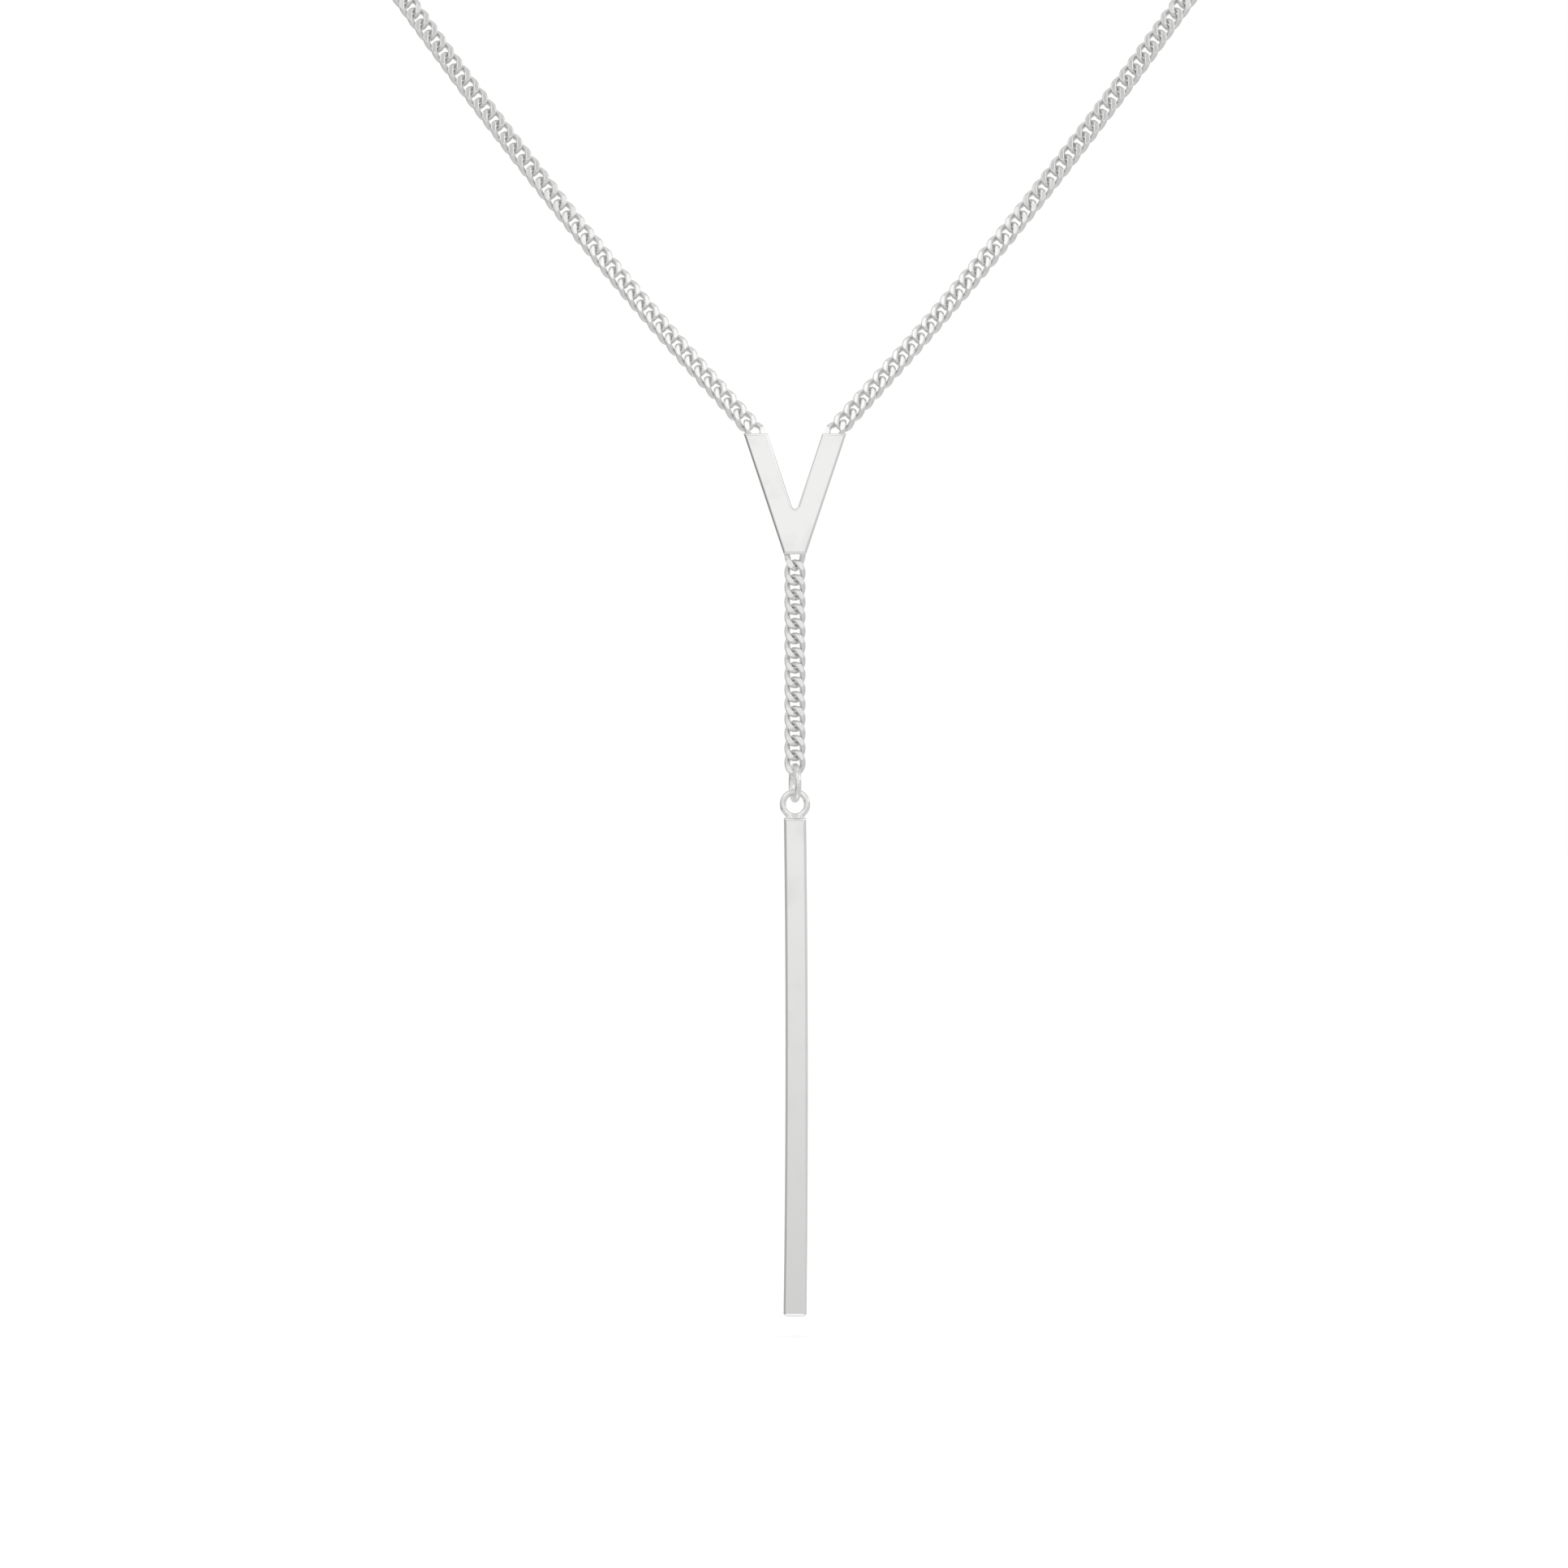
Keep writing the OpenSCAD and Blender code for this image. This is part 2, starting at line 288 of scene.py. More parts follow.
def curb_link(sizes, turns, section, swell=1.0, narrow=0.0, longer=0.0):
    """Wire of a curb link at the turns given. The middle line is an ellipse that rises and falls
    twice a turn. It is narrower by the share narrow times the squared cosine of the turn, and longer
    is added to its long radius. The wire is round, its radius times swell, and level flats cut it off
    where the chain is filed.
    Returns points [ring, side] and the share of the radius that is left over and under each ring."""
    arc_cells, chord_cells = section
    radius = sizes.wire_d / 2 * np.broadcast_to(swell, len(turns))
    long_r = (sizes.pitch + sizes.wire_d + sizes.play) / 2 + longer
    wide_r = (sizes.width - sizes.wire_d) / 2
    cos, sin = np.cos(turns), np.sin(turns)
    slim = 1 - narrow * cos ** 2
    middle = np.stack([long_r * cos, wide_r * sin * slim, sizes.rise * np.sin(2 * turns)], -1)
    way = unit(np.stack([-long_r * sin, wide_r * cos * (slim + 2 * narrow * sin ** 2),
                         2 * sizes.rise * np.cos(2 * turns)], -1))
    side = unit(np.cross(way, UP))
    up = np.cross(side, way)
    room = radius * up[:, 2]
    above = np.clip((sizes.thickness / 2 - middle[:, 2]) / room, -1, 1)
    below = np.clip((sizes.thickness / 2 + middle[:, 2]) / room, -1, 1)
    top = np.maximum(np.arccos(above), LEAST_CHORD)[:, None]
    bottom = np.maximum(np.arccos(below), LEAST_CHORD)[:, None]
    chord = np.linspace(-1, 1, chord_cells + 1)[None, :]
    arc = np.arange(1, arc_cells)[None, :] / arc_cells
    round_side = 2 * QUARTER - top - bottom
    around = np.hstack([QUARTER + top * chord, QUARTER + top + round_side * arc,
                        3 * QUARTER + bottom * chord, 3 * QUARTER + bottom + round_side * arc])
    across = radius[:, None] * np.cos(around)
    lowest, highest = (-radius * below)[:, None], (radius * above)[:, None]
    upright = np.clip(radius[:, None] * np.sin(around), lowest, highest)
    points = middle[:, None] + across[..., None] * side[:, None] + upright[..., None] * up[:, None]
    return points, above, below


def link_finish(above, below, section, closed):
    """Finish of each cell of a link: 1 on the filed flats and 0 on the wire."""
    arc_cells, chord_cells = section
    filed = np.stack([np.arccos(above) > LEAST_CHORD, np.arccos(below) > LEAST_CHORD])
    flat = filed | np.roll(filed, -1, axis=1)
    if not closed:
        flat = flat[:, :-1]
    half = arc_cells + chord_cells
    finish = np.zeros((flat.shape[1], 2 * half), int)
    finish[:, :chord_cells] = flat[0][:, None]
    finish[:, half:half + chord_cells] = flat[1][:, None]
    return finish.ravel()


def fine_turns(sizes):
    """Turns of a fine link's rings. In each quarter, some lie on the flat at its middle, at the sines
    of equal steps, so that they are closest at the flat's ends, where it narrows to a point. The
    rest are spread evenly beside it, and the last is where the next quarter starts."""
    above = curb_link(sizes, np.linspace(0, QUARTER, SEARCH_STEPS + 1), PLAIN_SECTION)[1]
    half = QUARTER / 2 * (above < 1).mean()
    steps = np.arange(1, SIDE_RINGS + 1) / (SIDE_RINGS + 1)
    beside = half + (QUARTER / 2 - half) * steps
    on_flat = half * np.sin(np.linspace(-QUARTER, QUARTER, FLAT_RINGS))
    offsets = np.concatenate([-beside[::-1], on_flat, beside, [QUARTER / 2]])
    return (QUARTER * (np.arange(4) + 0.5)[:, None] + offsets).ravel()


def whole_link(sizes, turns, section):
    """A closed link: its points, cells and finishes."""
    points, above, below = curb_link(sizes, turns, section)
    cells = grid_cells(len(turns), points.shape[1], True)
    return points, cells, link_finish(above, below, section, True)


def lean(axes, uneven, seed):
    """Way, side and face of each link, each leaning a small random angle from its neighbours."""
    way, side, face = axes[:, 0], axes[:, 1], axes[:, 2]
    tilt, nod = np.random.default_rng(seed).uniform(-uneven, uneven, (2, len(axes), 1))
    face = unit(face + tilt * side + nod * way)
    way = unit(way - (way * face).sum(-1, keepdims=True) * face)
    return np.stack([way, np.cross(face, way), face], axis=1)


def links_at(link, places, axes, hand=1):
    """Copies of a link: each point is its place plus its local coordinates along way, side and face.
    A hand of -1 gives the opposite twist."""
    points, cells, finish = link
    local = points.reshape(-1, 3) * (1, hand, 1)
    world = places[:, None] + np.einsum("pk,nkx->npx", local, axes)
    cells = copies_of(cells if hand > 0 else cells[:, ::-1], len(local), len(places))
    return world, cells, np.tile(finish, len(places))


# Route of the arms

def v_slope(plate):
    """How far a leg's outer edge goes out for each unit that it rises."""
    return (plate.width - plate.foot_width) / 2 / plate.height


def leg_top_width(plate):
    """Level width of a leg's top end: its width square to the leg over the cosine of its lean."""
    return plate.leg_width / math.cos(math.atan(v_slope(plate)))


def v_foot(plate):
    """Height of the V's foot, from the half link under it."""
    return V_BOX[0, 2] + plate.solder_rise + PACKED_LINK / 2


def v_top(plate):
    """Height of the V's top ends."""
    return v_foot(plate) + plate.height


class ArmRoute:
    """Middle line of the left arm: a Catmull-Rom curve through the V's half link, the chosen points
    and the clasp, in short straight steps, with its running length. Between the points b and c, whose
    other neighbours are a and d, it is a cubic in the share u of the way."""

    def __init__(self, start, end):
        points = np.array([start, *ARM_POINTS, end])
        past_ends = np.vstack([2 * points[0] - points[1], points, 2 * points[-1] - points[-2]])
        a, b, c, d = (past_ends[k:len(past_ends) - 3 + k, None] for k in range(4))
        u = (np.arange(ROUTE_STEPS) / ROUTE_STEPS)[None, :, None]
        curve = 0.5 * (2 * b + (c - a) * u + (2 * a - 5 * b + 4 * c - d) * u ** 2
                       + (3 * b - a - 3 * c + d) * u ** 3)
        self.curve = np.vstack([curve.reshape(-1, 3), points[-1:]])
        steps = np.linalg.norm(np.diff(self.curve, axis=0), axis=1)
        self.lengths = np.concatenate([[0], np.cumsum(steps)])

    def at(self, s):
        """Places at the lengths s from the V."""
        return np.stack([np.interp(s, self.lengths, self.curve[:, k]) for k in range(3)], -1)

    def frames(self, s, sizes):
        """Places at the lengths s, and rows of way, side and face there. The way spans one pitch. The
        face looks away from the neck, and upwards where the chain lies on the sloping chest."""
        place = self.at(s)
        way = unit(self.at(s + sizes.pitch / 2) - self.at(s - sizes.pitch / 2))
        lift = sizes.chest_slope * np.maximum(0, -place[:, 1])
        out = np.stack([place[:, 0], place[:, 1], lift], -1)
        face = unit(out - (out * way).sum(-1, keepdims=True) * way)
        return place, np.stack([way, np.cross(face, way), face], axis=1)


def arm_route():
    """The left arm's route, from the half link on its leg to where its last link hangs in the clasp."""
    plate = bpy.context.scene.necklace_plate
    start_x = -(plate.width - leg_top_width(plate)) / 2 - plate.solder_shift
    start = (start_x, FRONT_Y, v_top(plate) + plate.solder_rise)
    end = (CLASP_BOX[0, 0] - CLASP_LINK_GAP, NAPE_Y, CLASP_BOX[:, 2].mean())
    return ArmRoute(start, end)


# Wires and bevels

# Power of the edges that are filed to a bevel and then softened by polishing
BEVEL_POWER = 1.3
# How far the first and last points of a bevel lie along the two faces, over the bevel's size
BEVEL_REACH = 1.25


def planar_wire(path, centre, right, up, radius, sides, closed):
    """A round wire whose middle line lies in a plane. path holds distances [along right, along up];
    each section is a circle in the plane's normal and the normal of the path."""
    before, after = np.roll(path, 1, axis=0), np.roll(path, -1, axis=0)
    if not closed:
        before[0], after[-1] = path[0], path[-1]
    way = unit(after - before)
    outward = np.stack([way[:, 1], -way[:, 0]], -1)
    around = 2 * math.pi * np.arange(sides) / sides
    radius = np.broadcast_to(radius, len(path))[:, None]
    flat = path[:, None] + (radius * np.cos(around))[..., None] * outward[:, None]
    lift = radius * np.sin(around)
    return (np.array(centre) + flat[..., :1] * right + flat[..., 1:] * up
            + lift[..., None] * np.cross(right, up))


def circle(radius, steps, start=0.0, sweep=2 * math.pi):
    """Points on a circle; a full sweep doesn't repeat its first point."""
    full = abs(sweep) >= 2 * math.pi
    a = start + sweep * np.arange(steps) / (steps if full else steps - 1)
    return np.stack([radius * np.cos(a), radius * np.sin(a)], -1)


def wire_ring(outer_d, wire_d, centre, right, up, steps, sides):
    """A closed ring of round wire, by its outer diameter and the wire's."""
    path = circle((outer_d - wire_d) / 2, steps)
    return planar_wire(path, centre, right, up, wire_d / 2, sides, True)


def inset(outline, distance):
    """A closed outline, anticlockwise, moved inwards: each corner goes along the bisector of its two
    sides, by the distance over the cosine of half their angle."""
    along = unit(np.roll(outline, -1, axis=0) - outline)
    normal = np.stack([-along[:, 1], along[:, 0]], -1)
    before = np.roll(normal, 1, axis=0)
    both = normal + before
    return outline + distance * both / (1 + (normal * before).sum(-1, keepdims=True))


def edge_profile(steps):
    """A softened bevel of size one from an end face to a side: a quarter of the curve x^p + y^p = 1,
    as distances in from the side and down from the end face. A power p of 2 would be a quarter circle
    and 1 a straight bevel. Its first and last points lie further along the two faces, which keeps
    their shading level."""
    t = np.linspace(0, QUARTER, steps + 1)
    into = np.concatenate([[BEVEL_REACH], 1 - np.sin(t) ** (2 / BEVEL_POWER), [0]])
    down = np.concatenate([[0], 1 - np.cos(t) ** (2 / BEVEL_POWER), [BEVEL_REACH]])
    return into, down


# Materials

# Value of the cloudy noise at which haze starts and at which it is full
HAZE_STARTS, HAZE_FULL = 0.45, 0.75
# Size of a patch of the floor's tone, in metres
FLOOR_PATCH = 0.15


def linear(hex_colour):
    """An sRGB hex value as linear red, green, blue and alpha."""
    parts = [int(hex_colour[k:k + 2], 16) / 255 for k in (1, 3, 5)]
    return [p / 12.92 if p <= 0.04045 else ((p + 0.055) / 1.055) ** 2.4 for p in parts] + [1.0]


def add_node(tree, kind, inputs=None, **settings):
    """Adds a shader node. inputs gives each socket a value, or another node's socket to link."""
    made = tree.nodes.new(kind)
    for key, value in settings.items():
        setattr(made, key, value)
    for key, value in (inputs or {}).items():
        if isinstance(value, bpy.types.NodeSocket):
            tree.links.new(value, made.inputs[key])
        else:
            made.inputs[key].default_value = value
    return made


def empty_material(name):
    """A new material whose nodes are cleared, and its node tree."""
    material = bpy.data.materials.new(name)
    material.use_nodes = True
    material.node_tree.nodes.clear()
    return material, material.node_tree


def sterling(name, clean, haze, roughness, spread, haze_mm, line_mm, line_depth_mm):
    """Sterling silver, made at the first use of its name: a clean colour that clouds over to a haze,
    with roughness that grows by spread where it is full, and fine lines from polishing. clean and
    haze are names in Finishes. haze_mm is the size of a cloud; line_mm is the size of a polishing
    line along X, Y and Z."""
    if name in bpy.data.materials:
        return bpy.data.materials[name]
    finish = bpy.context.scene.necklace_finish
    material, tree = empty_material(name)
    place = add_node(tree, "ShaderNodeTexCoord").outputs["Object"]
    cloud = add_node(tree, "ShaderNodeTexNoise", {
        "Vector": place, "Scale": 1 / (haze_mm * MM), "Detail": 4.0, "Roughness": 0.6})
    dull = add_node(tree, "ShaderNodeMapRange", {
        "Value": cloud.outputs["Fac"], "From Min": HAZE_STARTS, "From Max": HAZE_FULL},
        interpolation_type="SMOOTHSTEP")
    tint = add_node(tree, "ShaderNodeMix", {
        "Factor": dull.outputs["Result"], "A": linear(getattr(finish, clean)),
        "B": linear(getattr(finish, haze))}, data_type="RGBA")
    stretch = add_node(tree, "ShaderNodeMapping", {
        "Vector": place, "Scale": [1 / (size * MM) for size in line_mm]})
    lines = add_node(tree, "ShaderNodeTexNoise", {
        "Vector": stretch.outputs["Vector"], "Scale": 1.0, "Detail": 3.0})
    gloss = add_node(tree, "ShaderNodeMath", {
        0: dull.outputs["Result"], 1: spread, 2: roughness}, operation="MULTIPLY_ADD")
    relief = add_node(tree, "ShaderNodeBump", {
        "Height": lines.outputs["Fac"], "Strength": 1.0, "Distance": line_depth_mm * MM})
    shader = add_node(tree, "ShaderNodeBsdfPrincipled", {
        "Base Color": tint.outputs["Result"], "Metallic": 1.0, "Roughness": gloss.outputs["Value"],
        "Normal": relief.outputs["Normal"]})
    add_node(tree, "ShaderNodeOutputMaterial", {"Surface": shader.outputs["BSDF"]})
    return material


def polished_plate():
    """Sterling plate, filed and machine polished: a near mirror with faint lines along its length.
    Real lines are under 0.05 mm wide; they are drawn 0.25 mm wide so that they show."""
    return sterling("PolishedSterlingPlate", "plate", "plate_haze", roughness=0.12, spread=0.04,
                    haze_mm=3.0, line_mm=(0.25, 0.25, 7.0), line_depth_mm=0.0004)


def tumbled_wire():
    """Drawn sterling wire of the chain, tumbled with fine shot: a soft satin that looks light grey,
    with a trace of tarnish in clouds a little thinner than the wire. Real tumbling marks are about
    0.02 mm across; they are drawn 0.12 mm across so that they show."""
    return sterling("TumbledSterlingWire", "wire", "wire_haze", roughness=0.4, spread=0.12,
                    haze_mm=0.3, line_mm=(0.12, 0.12, 0.12), line_depth_mm=0.001)


def polished_wire():
    """Heavier sterling wire of the eye, the jump ring and the clasp, polished with the plate: a near
    mirror that breaks up the lights a little. Its marks are drawn 0.15 mm across, a few times their
    real size, so that they show."""
    return sterling("PolishedSterlingWire", "plate", "plate_haze", roughness=0.14, spread=0.06,
                    haze_mm=1.2, line_mm=(0.15, 0.15, 0.15), line_depth_mm=0.0005)


def bright_cut():
    """Filed and burnished flats of the curb links: the brightest, smoothest faces of the chain. The
    file's marks are drawn 0.08 mm wide, about twice their real width, so that they show."""
    return sterling("BrightCutSterling", "cut", "plate", roughness=0.10, spread=0.05,
                    haze_mm=1.0, line_mm=(0.08, 0.08, 0.5), line_depth_mm=0.0005)


def floor_paint(stage):
    """Plain matt white floor with a barely uneven tone."""
    material, tree = empty_material("MattWhiteFloor")
    place = add_node(tree, "ShaderNodeTexCoord").outputs["Object"]
    patch = add_node(tree, "ShaderNodeTexNoise", {"Vector": place, "Scale": 1 / FLOOR_PATCH})
    tint = add_node(tree, "ShaderNodeMix", {
        "Factor": patch.outputs["Fac"], "A": linear(stage.floor_colour),
        "B": linear(stage.floor_patch)}, data_type="RGBA")
    shader = add_node(tree, "ShaderNodeBsdfDiffuse", {"Color": tint.outputs["Result"]})
    add_node(tree, "ShaderNodeOutputMaterial", {"Surface": shader.outputs["BSDF"]})
    return material


# Light

# What the silver mirrors in four level bands, as stops of (bearing in degrees, brightness). Bearing 0
# is straight towards the camera and 90 is to its right as the necklace is seen.
LEVEL_LIGHT = [(-180, 0.67), (-122, 0.66), (-104, 0.42), (-80, 0.42), (-64, 0.63), (-42, 0.70),
               (-28, 0.88), (28, 0.88), (42, 0.74), (66, 0.66), (93, 0.62), (130, 0.66), (180, 0.67)]
RAISED_LIGHT = [(-180, 0.66), (-120, 0.64), (-106, 0.62), (-76, 0.62), (-60, 0.64), (-40, 0.70),
                (40, 0.70), (58, 0.74), (70, 1.14), (110, 1.14), (122, 0.70), (180, 0.66)]
HIGH_LIGHT = [(-180, 0.64), (-68, 0.64), (-56, 1.10), (-27, 1.10), (-17, 0.64), (17, 0.64),
              (27, 1.10), (56, 1.10), (68, 0.68), (180, 0.64)]
LOW_LIGHT = [(-180, 0.66), (-140, 0.62), (-122, 0.27), (-66, 0.27), (-50, 0.62), (-30, 0.70),
             (40, 0.70), (66, 0.60), (110, 0.60), (180, 0.66)]
BEARINGS = (-180, 180)
# And straight in front, as stops of (height in degrees, brightness)
FRONT_LIGHT = [(-24, 0.80), (-16, 0.80), (-8, 0.62), (-4, 0.56), (-2.75, 0.61), (-1.5, 0.74),
               (-0.6, 0.86), (-0.2, 0.96), (0.6, 0.98), (2.5, 0.94), (5, 0.86), (9, 0.74),
               (13, 0.78), (18, 0.96), (23, 0.96), (28, 0.60)]
FRONT_HEIGHTS = (-30, 30)
# Bearings over which the front gives way to the level and raised bands
FRONT_FADES = (16, 44)
# Heights over which each band takes over from the one between it and the level band
RAISED_FROM = (8, 12)
HIGH_FROM = (20, 28)
LOW_FROM = (-9, -14)
# The same for the plain zones further up and down, each with its brightness
PLAIN_ZONES = [((-21, -26), 0.64), ((46, 58), 0.67), ((72, 84), 1.04), ((-62, -82), 1.0)]
# What the camera sees of the plain white room, and what lights the floor
ROOM_WHITE = 1.0
FLOOR_LIGHT = 1.22


def light_stops(tree, degrees, stops, limits):
    """Brightness read from stops of (degrees, brightness) between two limits in degrees."""
    least, most = limits
    share = add_node(tree, "ShaderNodeMapRange", {
        "Value": degrees, "From Min": math.radians(least), "From Max": math.radians(most)})
    ramp = add_node(tree, "ShaderNodeValToRGB", {"Fac": share.outputs["Result"]})
    elements = ramp.color_ramp.elements
    while len(elements) < len(stops):
        elements.new(0.5)
    for element, (place, bright) in zip(elements, stops):
        element.position = (place - least) / (most - least)
        element.color = (bright, bright, bright, 1)
    return ramp.outputs["Color"]


def blend(tree, value, limits, first, second):
    """Goes smoothly from the first brightness to the second as the value goes from one limit in
    degrees to the other."""
    start, end = limits
    share = add_node(tree, "ShaderNodeMapRange", {
        "Value": value, "From Min": math.radians(start), "From Max": math.radians(end)},
        interpolation_type="SMOOTHSTEP")
    return add_node(tree, "ShaderNodeMix", {
        "Factor": share.outputs["Result"], "A": first, "B": second}).outputs["Result"]


def studio_light(world):
    """A plain white room for the camera and the floor. The silver mirrors a softbox behind the camera
    that is brightest level with the V, dark flags to the left, white boards high on both sides and to
    the right, and a greyer room round them, with light from straight above and below."""
    world.use_nodes = True
    tree = world.node_tree
    tree.nodes.clear()
    direction = add_node(tree, "ShaderNodeSeparateXYZ", {
        "Vector": add_node(tree, "ShaderNodeTexCoord").outputs["Generated"]})
    x, y, z = (direction.outputs[k] for k in "XYZ")
    height = add_node(tree, "ShaderNodeMath", {0: z}, operation="ARCSINE").outputs["Value"]
    to_camera = add_node(tree, "ShaderNodeMath", {0: y, 1: -1.0}, operation="MULTIPLY")
    bearing = add_node(tree, "ShaderNodeMath", {
        0: x, 1: to_camera.outputs["Value"]}, operation="ARCTAN2").outputs["Value"]
    turn = add_node(tree, "ShaderNodeMath", {0: bearing}, operation="ABSOLUTE").outputs["Value"]
    level, raised, high, low = (light_stops(tree, bearing, stops, BEARINGS)
                                for stops in (LEVEL_LIGHT, RAISED_LIGHT, HIGH_LIGHT, LOW_LIGHT))
    front = light_stops(tree, height, FRONT_LIGHT, FRONT_HEIGHTS)
    room = blend(tree, turn, FRONT_FADES, front, level)
    raised = blend(tree, turn, FRONT_FADES, front, raised)
    zones = [(RAISED_FROM, raised), (HIGH_FROM, high), (LOW_FROM, low), *PLAIN_ZONES]
    for limits, light in zones:
        room = blend(tree, height, limits, room, light)
    path = add_node(tree, "ShaderNodeLightPath")
    lit = add_node(tree, "ShaderNodeMix", {
        "Factor": path.outputs["Is Diffuse Ray"], "A": room, "B": FLOOR_LIGHT}).outputs["Result"]
    seen = add_node(tree, "ShaderNodeMix", {
        "Factor": path.outputs["Is Camera Ray"], "A": lit, "B": ROOM_WHITE}).outputs["Result"]
    glow = add_node(tree, "ShaderNodeBackground", {"Color": (1, 1, 1, 1), "Strength": seen})
    add_node(tree, "ShaderNodeOutputWorld", {"Surface": glow.outputs["Background"]})


# Operators

class NECKLACE_OT_stage(bpy.types.Operator):
    """Adds the camera, the plain pale floor and the studio light"""
    bl_idname = "necklace.stage"
    bl_label = "Stage"

    def execute(self, context):
        scene = context.scene
        stage = scene.necklace_stage
        scene.view_settings.view_transform = "Standard"
        self.add_camera(scene, stage)
        self.add_floor(scene, stage)
        world = bpy.data.worlds.new("WhiteStudio")
        studio_light(world)
        scene.world = world
        return {"FINISHED"}

    def add_camera(self, scene, stage):
        """A long lens straight in front, framed by the places in the photograph."""
        metre_per_px = PHOTO_MM_PER_PX * MM
        middle = PHOTO_SIDE_PX / 2
        plate = scene.necklace_plate
        data = bpy.data.cameras.new("Camera")
        data.sensor_width = SENSOR_MM
        data.lens = SENSOR_MM * stage.camera_distance / (PHOTO_SIDE_PX * metre_per_px)
        data.clip_end = CAMERA_SEES_TO
        camera = bpy.data.objects.new("Camera", data)
        camera.location = ((middle - PHOTO_MIDDLE_LINE_PX) * metre_per_px,
                           FRONT_Y - plate.thickness / 2 - stage.camera_distance,
                           v_top(plate) - (middle - PHOTO_V_TOP_PX) * metre_per_px)
        camera.rotation_euler = (QUARTER, 0, 0)
        scene.collection.objects.link(camera)
        scene.camera = camera

    def add_floor(self, scene, stage):
        """A level square under the bar, which the silver doesn't mirror."""
        half = stage.floor_side / 2
        height = BAR_BOX[0, 2] - stage.floor_gap
        mesh = bpy.data.meshes.new("Floor")
        corners = [(x * half, y * half, height) for x, y in ((-1, -1), (1, -1), (1, 1), (-1, 1))]
        mesh.from_pydata(corners, [], [(0, 1, 2, 3)])
        mesh.materials.append(floor_paint(stage))
        floor = bpy.data.objects.new("Floor", mesh)
        floor.visible_glossy = False
        scene.collection.objects.link(floor)


# Way, side and face of the links in the drop, which hangs straight down
DROP_AXES = np.array([(-UP, RIGHT, -BACK)])
# Turn between two faces that marks a corner of the V, where two bevels meet
V_CORNER = math.radians(35)
# Points round the crotch, steps over a bevel and rings along a half link
CROTCH_POINTS = 13
BEVEL_STEPS = 6
HALF_LINK_RINGS = 33
# Share by which a half link is drawn in at its end
HALF_LINK_NARROW = 0.35
# Share by which a half link's wire swells in its solder, and the turn over which that fades
SOLDER_SWELL, SOLDER_FADE = 0.12, 0.22


class NECKLACE_OT_v_plate(bpy.types.Operator):
    """Adds the V plate with the three half links soldered to its edges"""
    bl_idname = "necklace.v_plate"
    bl_label = "V plate"

    def execute(self, context):
        scene = context.scene
        plate, chain = scene.necklace_plate, scene.necklace_chain
        shell = Shell()
        self.add_plate(shell, plate)
        top, foot = v_top(plate), v_foot(plate)
        place, axes = arm_route().frames(np.zeros(1), chain)
        for side in (1, -1):
            mirror = np.array([side, 1, 1])
            self.add_half_link(shell, chain, place * mirror, axes * mirror, 1,
                               lambda z: z > top - plate.edge_r)
        place = np.array([(0, FRONT_Y, foot - plate.solder_rise + plate.foot_reach)])
        self.add_half_link(shell, chain, place, DROP_AXES, -1, lambda z: z < foot + plate.edge_r,
                           plate.foot_reach)
        shell.piece("v_plate_silver", "necklace", ["v_plate"],
                    [polished_plate(), bright_cut(), tumbled_wire()], crisp_over=V_CORNER)
        return {"FINISHED"}

    def add_plate(self, shell, plate):
        """The V: its outline moved inwards by the profile of a softened bevel, front and back."""
        slope = v_slope(plate)
        lean_angle = math.atan(slope)
        half, foot = plate.width / 2, plate.foot_width / 2
        leg_top = leg_top_width(plate)
        crotch_y = plate.crotch_r / math.sin(lean_angle) - (half - leg_top) / slope
        crotch = circle(plate.crotch_r, CROTCH_POINTS, -lean_angle, 2 * lean_angle - math.pi)
        outline = np.array([(-half, 0), (-foot, -plate.height), (foot, -plate.height), (half, 0),
                            (half - leg_top, 0), *(crotch + (0, crotch_y)), (leg_top - half, 0)])
        into, down = (plate.edge_r * part for part in edge_profile(BEVEL_STEPS))
        deep = plate.thickness / 2 - down
        rings = []
        for distance, y in [*zip(into, -deep), *zip(into[::-1], deep[::-1])]:
            flat = inset(outline, distance)
            deep_y = np.full(len(flat), FRONT_Y + y)
            rings.append(np.stack([flat[:, 0], deep_y, v_top(plate) + flat[:, 1]], -1))
        shell.tube(np.array(rings), False)

    def add_half_link(self, shell, chain, place, axes, hand, stands_out, longer=0.0):
        """The part of a link that stands out of the plate, where stands_out is true of a height.
        Towards both ends its wire swells into the solder, by a bell curve of the turn that is left."""
        fine = np.linspace(0, 2 * math.pi, SEARCH_STEPS + 1)[:-1]
        middle = curb_link(chain, fine, PLAIN_SECTION, 1.0, HALF_LINK_NARROW, longer)[0].mean(axis=1)
        out = stands_out((place + (middle * (1, hand, 1)) @ axes[0])[:, 2])
        first = np.flatnonzero(out & ~np.roll(out, 1))[0]
        sweep = out.sum() / len(fine) * 2 * math.pi
        turns = fine[first] + sweep * np.linspace(0, 1, HALF_LINK_RINGS)
        from_end = sweep * (0.5 - abs(np.linspace(-0.5, 0.5, HALF_LINK_RINGS)))
        swell = 1 + SOLDER_SWELL * np.exp(-(from_end / SOLDER_FADE) ** 2)
        points, above, below = curb_link(chain, turns, FINE_SECTION, swell, HALF_LINK_NARROW, longer)
        finish = link_finish(above, below, FINE_SECTION, False)
        rings, sides = points.shape[:2]
        world = place + (points.reshape(-1, 3) * (1, hand, 1)) @ axes[0]
        cells = grid_cells(rings, sides, False)
        caps = end_caps(rings, sides)
        if hand * np.linalg.det(axes[0]) < 0:
            cells = cells[:, ::-1]
            caps = [cap[::-1] for cap in caps]
        shell.add(world, cells, np.where(finish == 1, 1, 2), caps)


# First seeds of the links' leaning, one seed for each run of links
FRONT_SEED, BACK_SEED, DROP_SEED = 0, 10, 20


